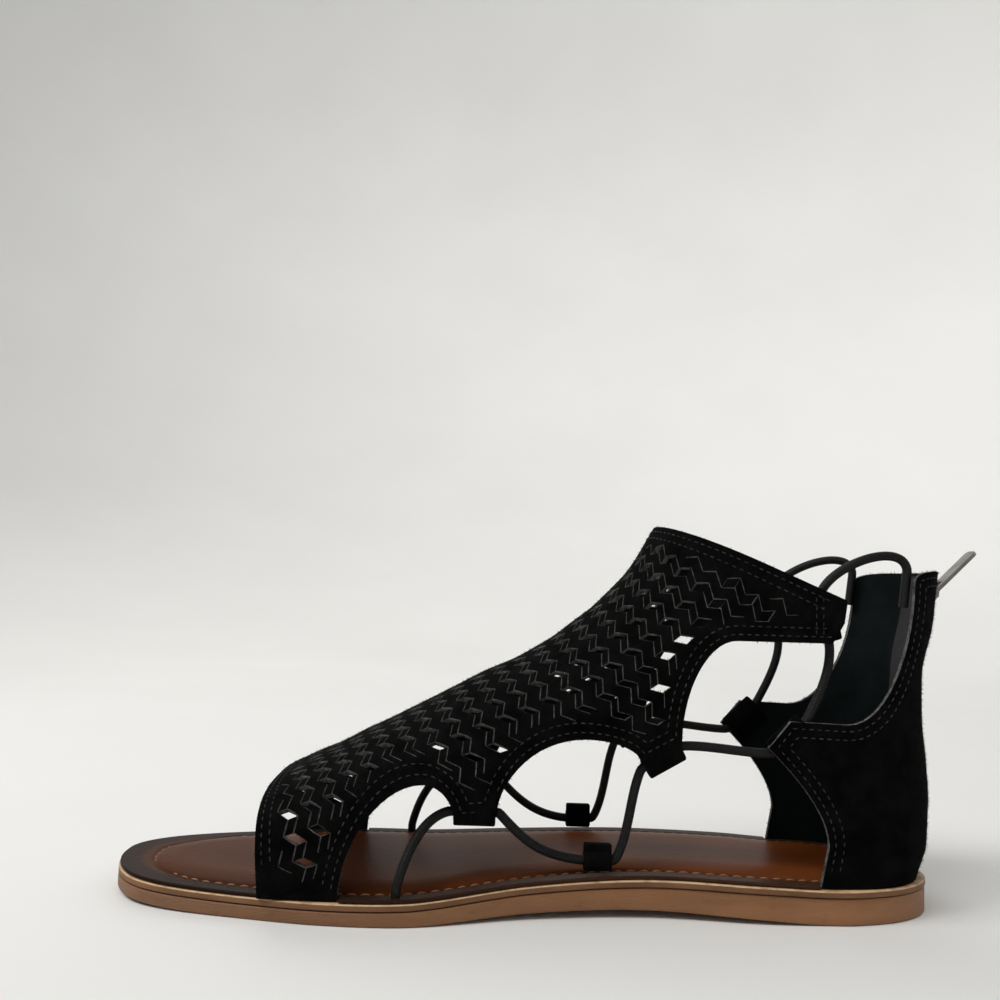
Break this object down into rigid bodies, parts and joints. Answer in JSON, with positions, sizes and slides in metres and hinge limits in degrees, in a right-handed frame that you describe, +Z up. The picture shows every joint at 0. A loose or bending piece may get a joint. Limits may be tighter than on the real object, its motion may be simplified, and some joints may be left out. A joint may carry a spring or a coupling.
{
  "type": "gladiator sandal",
  "caption": "Flat black suede gladiator sandal with a lattice-cut shield, elastic side lacing, a closed heel counter with a back zip and a tan sole.",
  "frame": {"origin": "on the floor, at the middle of the flat under the heel", "axes": "+X from the heel to the toe, +Y to the inner (medial) side, +Z up from the floor"},
  "size_m": [0.2809, 0.0884, 0.1209],
  "materials": {
    "outsole": "tan-brown moulded rubber, matt, a little scuffed",
    "midsole": "tan-brown rand, satin",
    "insole": "glossy cognac leather over a soft pad, stitched round its edge",
    "suede": "black suede, napped, with raw cut edges",
    "elastic": "black braided round elastic",
    "zip_tape": "black woven zip tape",
    "zip_metal": "gunmetal, satin, lightly worn"
  },
  "bodies": {
    "shoe": {"outsole": "outsole", "midsole": "midsole", "insole": "insole", "shield": "suede", "counter": "suede", "sole_loop_medial": "suede", "elastic_medial": "elastic", "sole_loop_lateral": "suede", "elastic_lateral": "elastic", "zip_tape": "zip_tape", "zip_teeth": "zip_metal", "zip_slider": "zip_metal"},
    "pull": {"zip_pull": "zip_metal"}
  },
  "joints": [
    {"name": "zip_pull_hinge", "type": "hinge", "parent": "shoe", "child": "pull", "pos_m": [-0.03271, 0.00013, 0.10238], "axis": [0, 1, 0], "range_deg": [-138, 30]}
  ]
}
